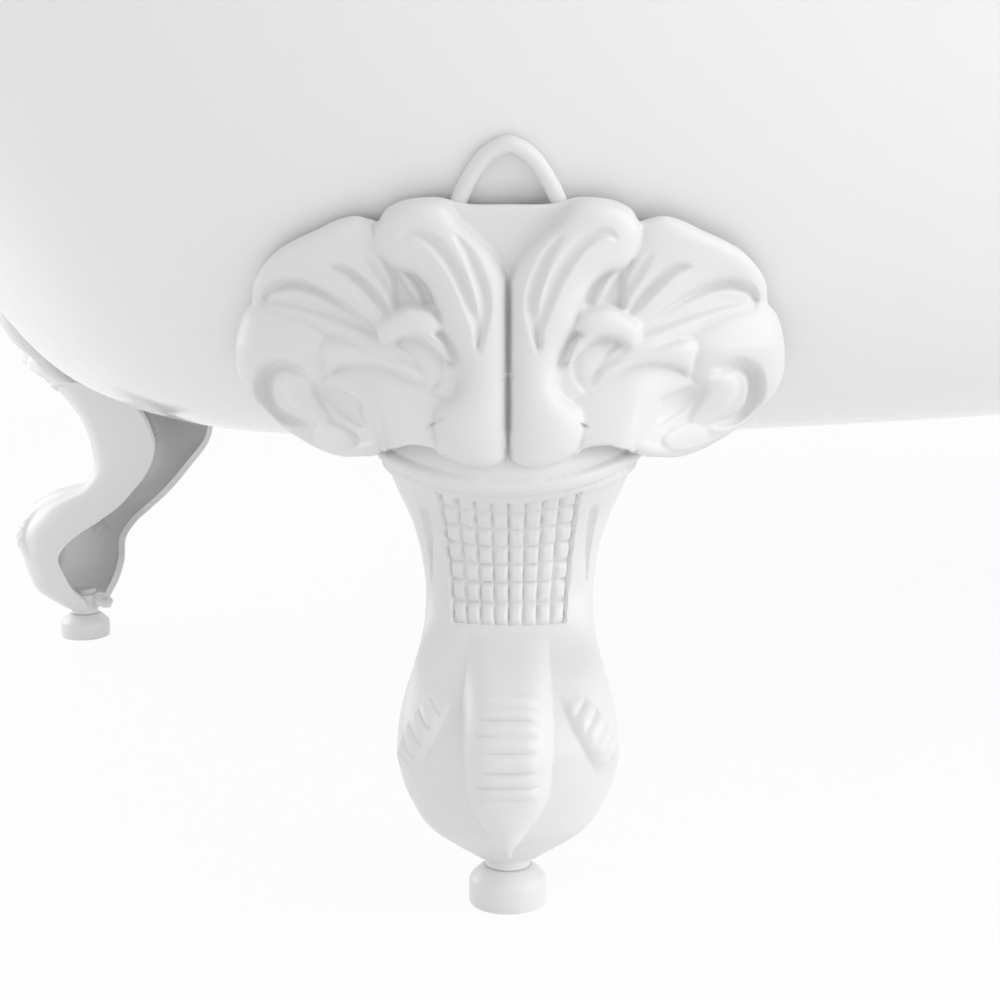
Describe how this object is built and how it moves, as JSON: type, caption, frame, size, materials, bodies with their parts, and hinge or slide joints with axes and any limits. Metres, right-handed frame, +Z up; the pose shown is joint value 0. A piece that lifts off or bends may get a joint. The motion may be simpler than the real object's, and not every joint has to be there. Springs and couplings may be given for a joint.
{
  "type": "roll top bathtub",
  "caption": "Freestanding double-skinned roll top bath with leafed claw feet on screw levelling pads, a pop-up waste and an overflow knob.",
  "frame": {"origin": "on the floor under the middle of the bath", "axes": "+X along the bath, +Y across it towards the overflow, +Z up"},
  "size_m": [1.7115, 0.7546, 0.61],
  "materials": {
    "white_acrylic": "glossy white acrylic",
    "white_casting": "smooth satin white paint",
    "white_pad": "white moulded plastic",
    "white_screw": "white coated steel",
    "zinc_steel": "zinc plated steel",
    "chrome": "polished chrome plate",
    "black_rubber": "black rubber",
    "grey_plastic": "grey moulded plastic",
    "timber": "plain board"
  },
  "bodies": {
    "bath": {"inner_bath": "white_acrylic", "outer_skin": "white_acrylic", "base_board": "timber", "foot_blocks": "timber", "foot_studs": "zinc_steel", "foot_washers": "zinc_steel", "foot_nuts": "zinc_steel", "waste_flange": "chrome", "waste_seal": "black_rubber", "waste_body": "grey_plastic", "overflow_pipe": "grey_plastic", "overflow_seal": "black_rubber", "overflow_body": "grey_plastic", "overflow_bezel": "chrome", "foot_back_right": "white_casting", "foot_back_left": "white_casting", "foot_front_right": "white_casting", "foot_front_left": "white_casting"},
    "pad_back_right": {"leveller_pad_back_right": "white_pad"},
    "pad_back_left": {"leveller_pad_back_left": "white_pad"},
    "pad_front_right": {"leveller_pad_front_right": "white_pad"},
    "pad_front_left": {"leveller_pad_front_left": "white_pad"},
    "screw_back_right": {"leveller_screw_back_right": "white_screw"},
    "screw_back_left": {"leveller_screw_back_left": "white_screw"},
    "screw_front_right": {"leveller_screw_front_right": "white_screw"},
    "screw_front_left": {"leveller_screw_front_left": "white_screw"},
    "plug": {"plug": "chrome"},
    "knob": {"overflow_knob": "chrome"}
  },
  "joints": [
    {"name": "leveller_travel_back_right", "type": "slide", "parent": "bath", "child": "pad_back_right", "axis": [0, 0, -1], "range_m": [0, 0.007]},
    {"name": "leveller_turn_back_right", "type": "hinge", "parent": "pad_back_right", "child": "screw_back_right", "pos_m": [0.49235, 0.20819, 0.015], "axis": [0, 0, -1], "range_deg": [0, 1440]},
    {"name": "leveller_travel_back_left", "type": "slide", "parent": "bath", "child": "pad_back_left", "axis": [0, 0, -1], "range_m": [0, 0.007]},
    {"name": "leveller_turn_back_left", "type": "hinge", "parent": "pad_back_left", "child": "screw_back_left", "pos_m": [-0.49235, 0.20819, 0.015], "axis": [0, 0, -1], "range_deg": [0, 1440]},
    {"name": "leveller_travel_front_right", "type": "slide", "parent": "bath", "child": "pad_front_right", "axis": [0, 0, -1], "range_m": [0, 0.007]},
    {"name": "leveller_turn_front_right", "type": "hinge", "parent": "pad_front_right", "child": "screw_front_right", "pos_m": [0.49235, -0.20819, 0.015], "axis": [0, 0, -1], "range_deg": [0, 1440]},
    {"name": "leveller_travel_front_left", "type": "slide", "parent": "bath", "child": "pad_front_left", "axis": [0, 0, -1], "range_m": [0, 0.007]},
    {"name": "leveller_turn_front_left", "type": "hinge", "parent": "pad_front_left", "child": "screw_front_left", "pos_m": [-0.49235, -0.20819, 0.015], "axis": [0, 0, -1], "range_deg": [0, 1440]},
    {"name": "knob_turn", "type": "hinge", "parent": "bath", "child": "knob", "pos_m": [0, 0.30153, 0.475], "axis": [0, -0.9903, 0.1392], "range_deg": [0, 90]},
    {"name": "plug_lift", "type": "slide", "parent": "bath", "child": "plug", "axis": [0, 0, 1], "range_m": [0, 0.012]}
  ],
  "couplings": [
    {"joint": "leveller_turn_back_right", "follows": "leveller_travel_back_right", "rad_per_m": 3590.4},
    {"joint": "leveller_turn_back_left", "follows": "leveller_travel_back_left", "rad_per_m": 3590.4},
    {"joint": "leveller_turn_front_right", "follows": "leveller_travel_front_right", "rad_per_m": 3590.4},
    {"joint": "leveller_turn_front_left", "follows": "leveller_travel_front_left", "rad_per_m": 3590.4},
    {"joint": "plug_lift", "follows": "knob_turn", "m_per_rad": 0.0076394}
  ]
}
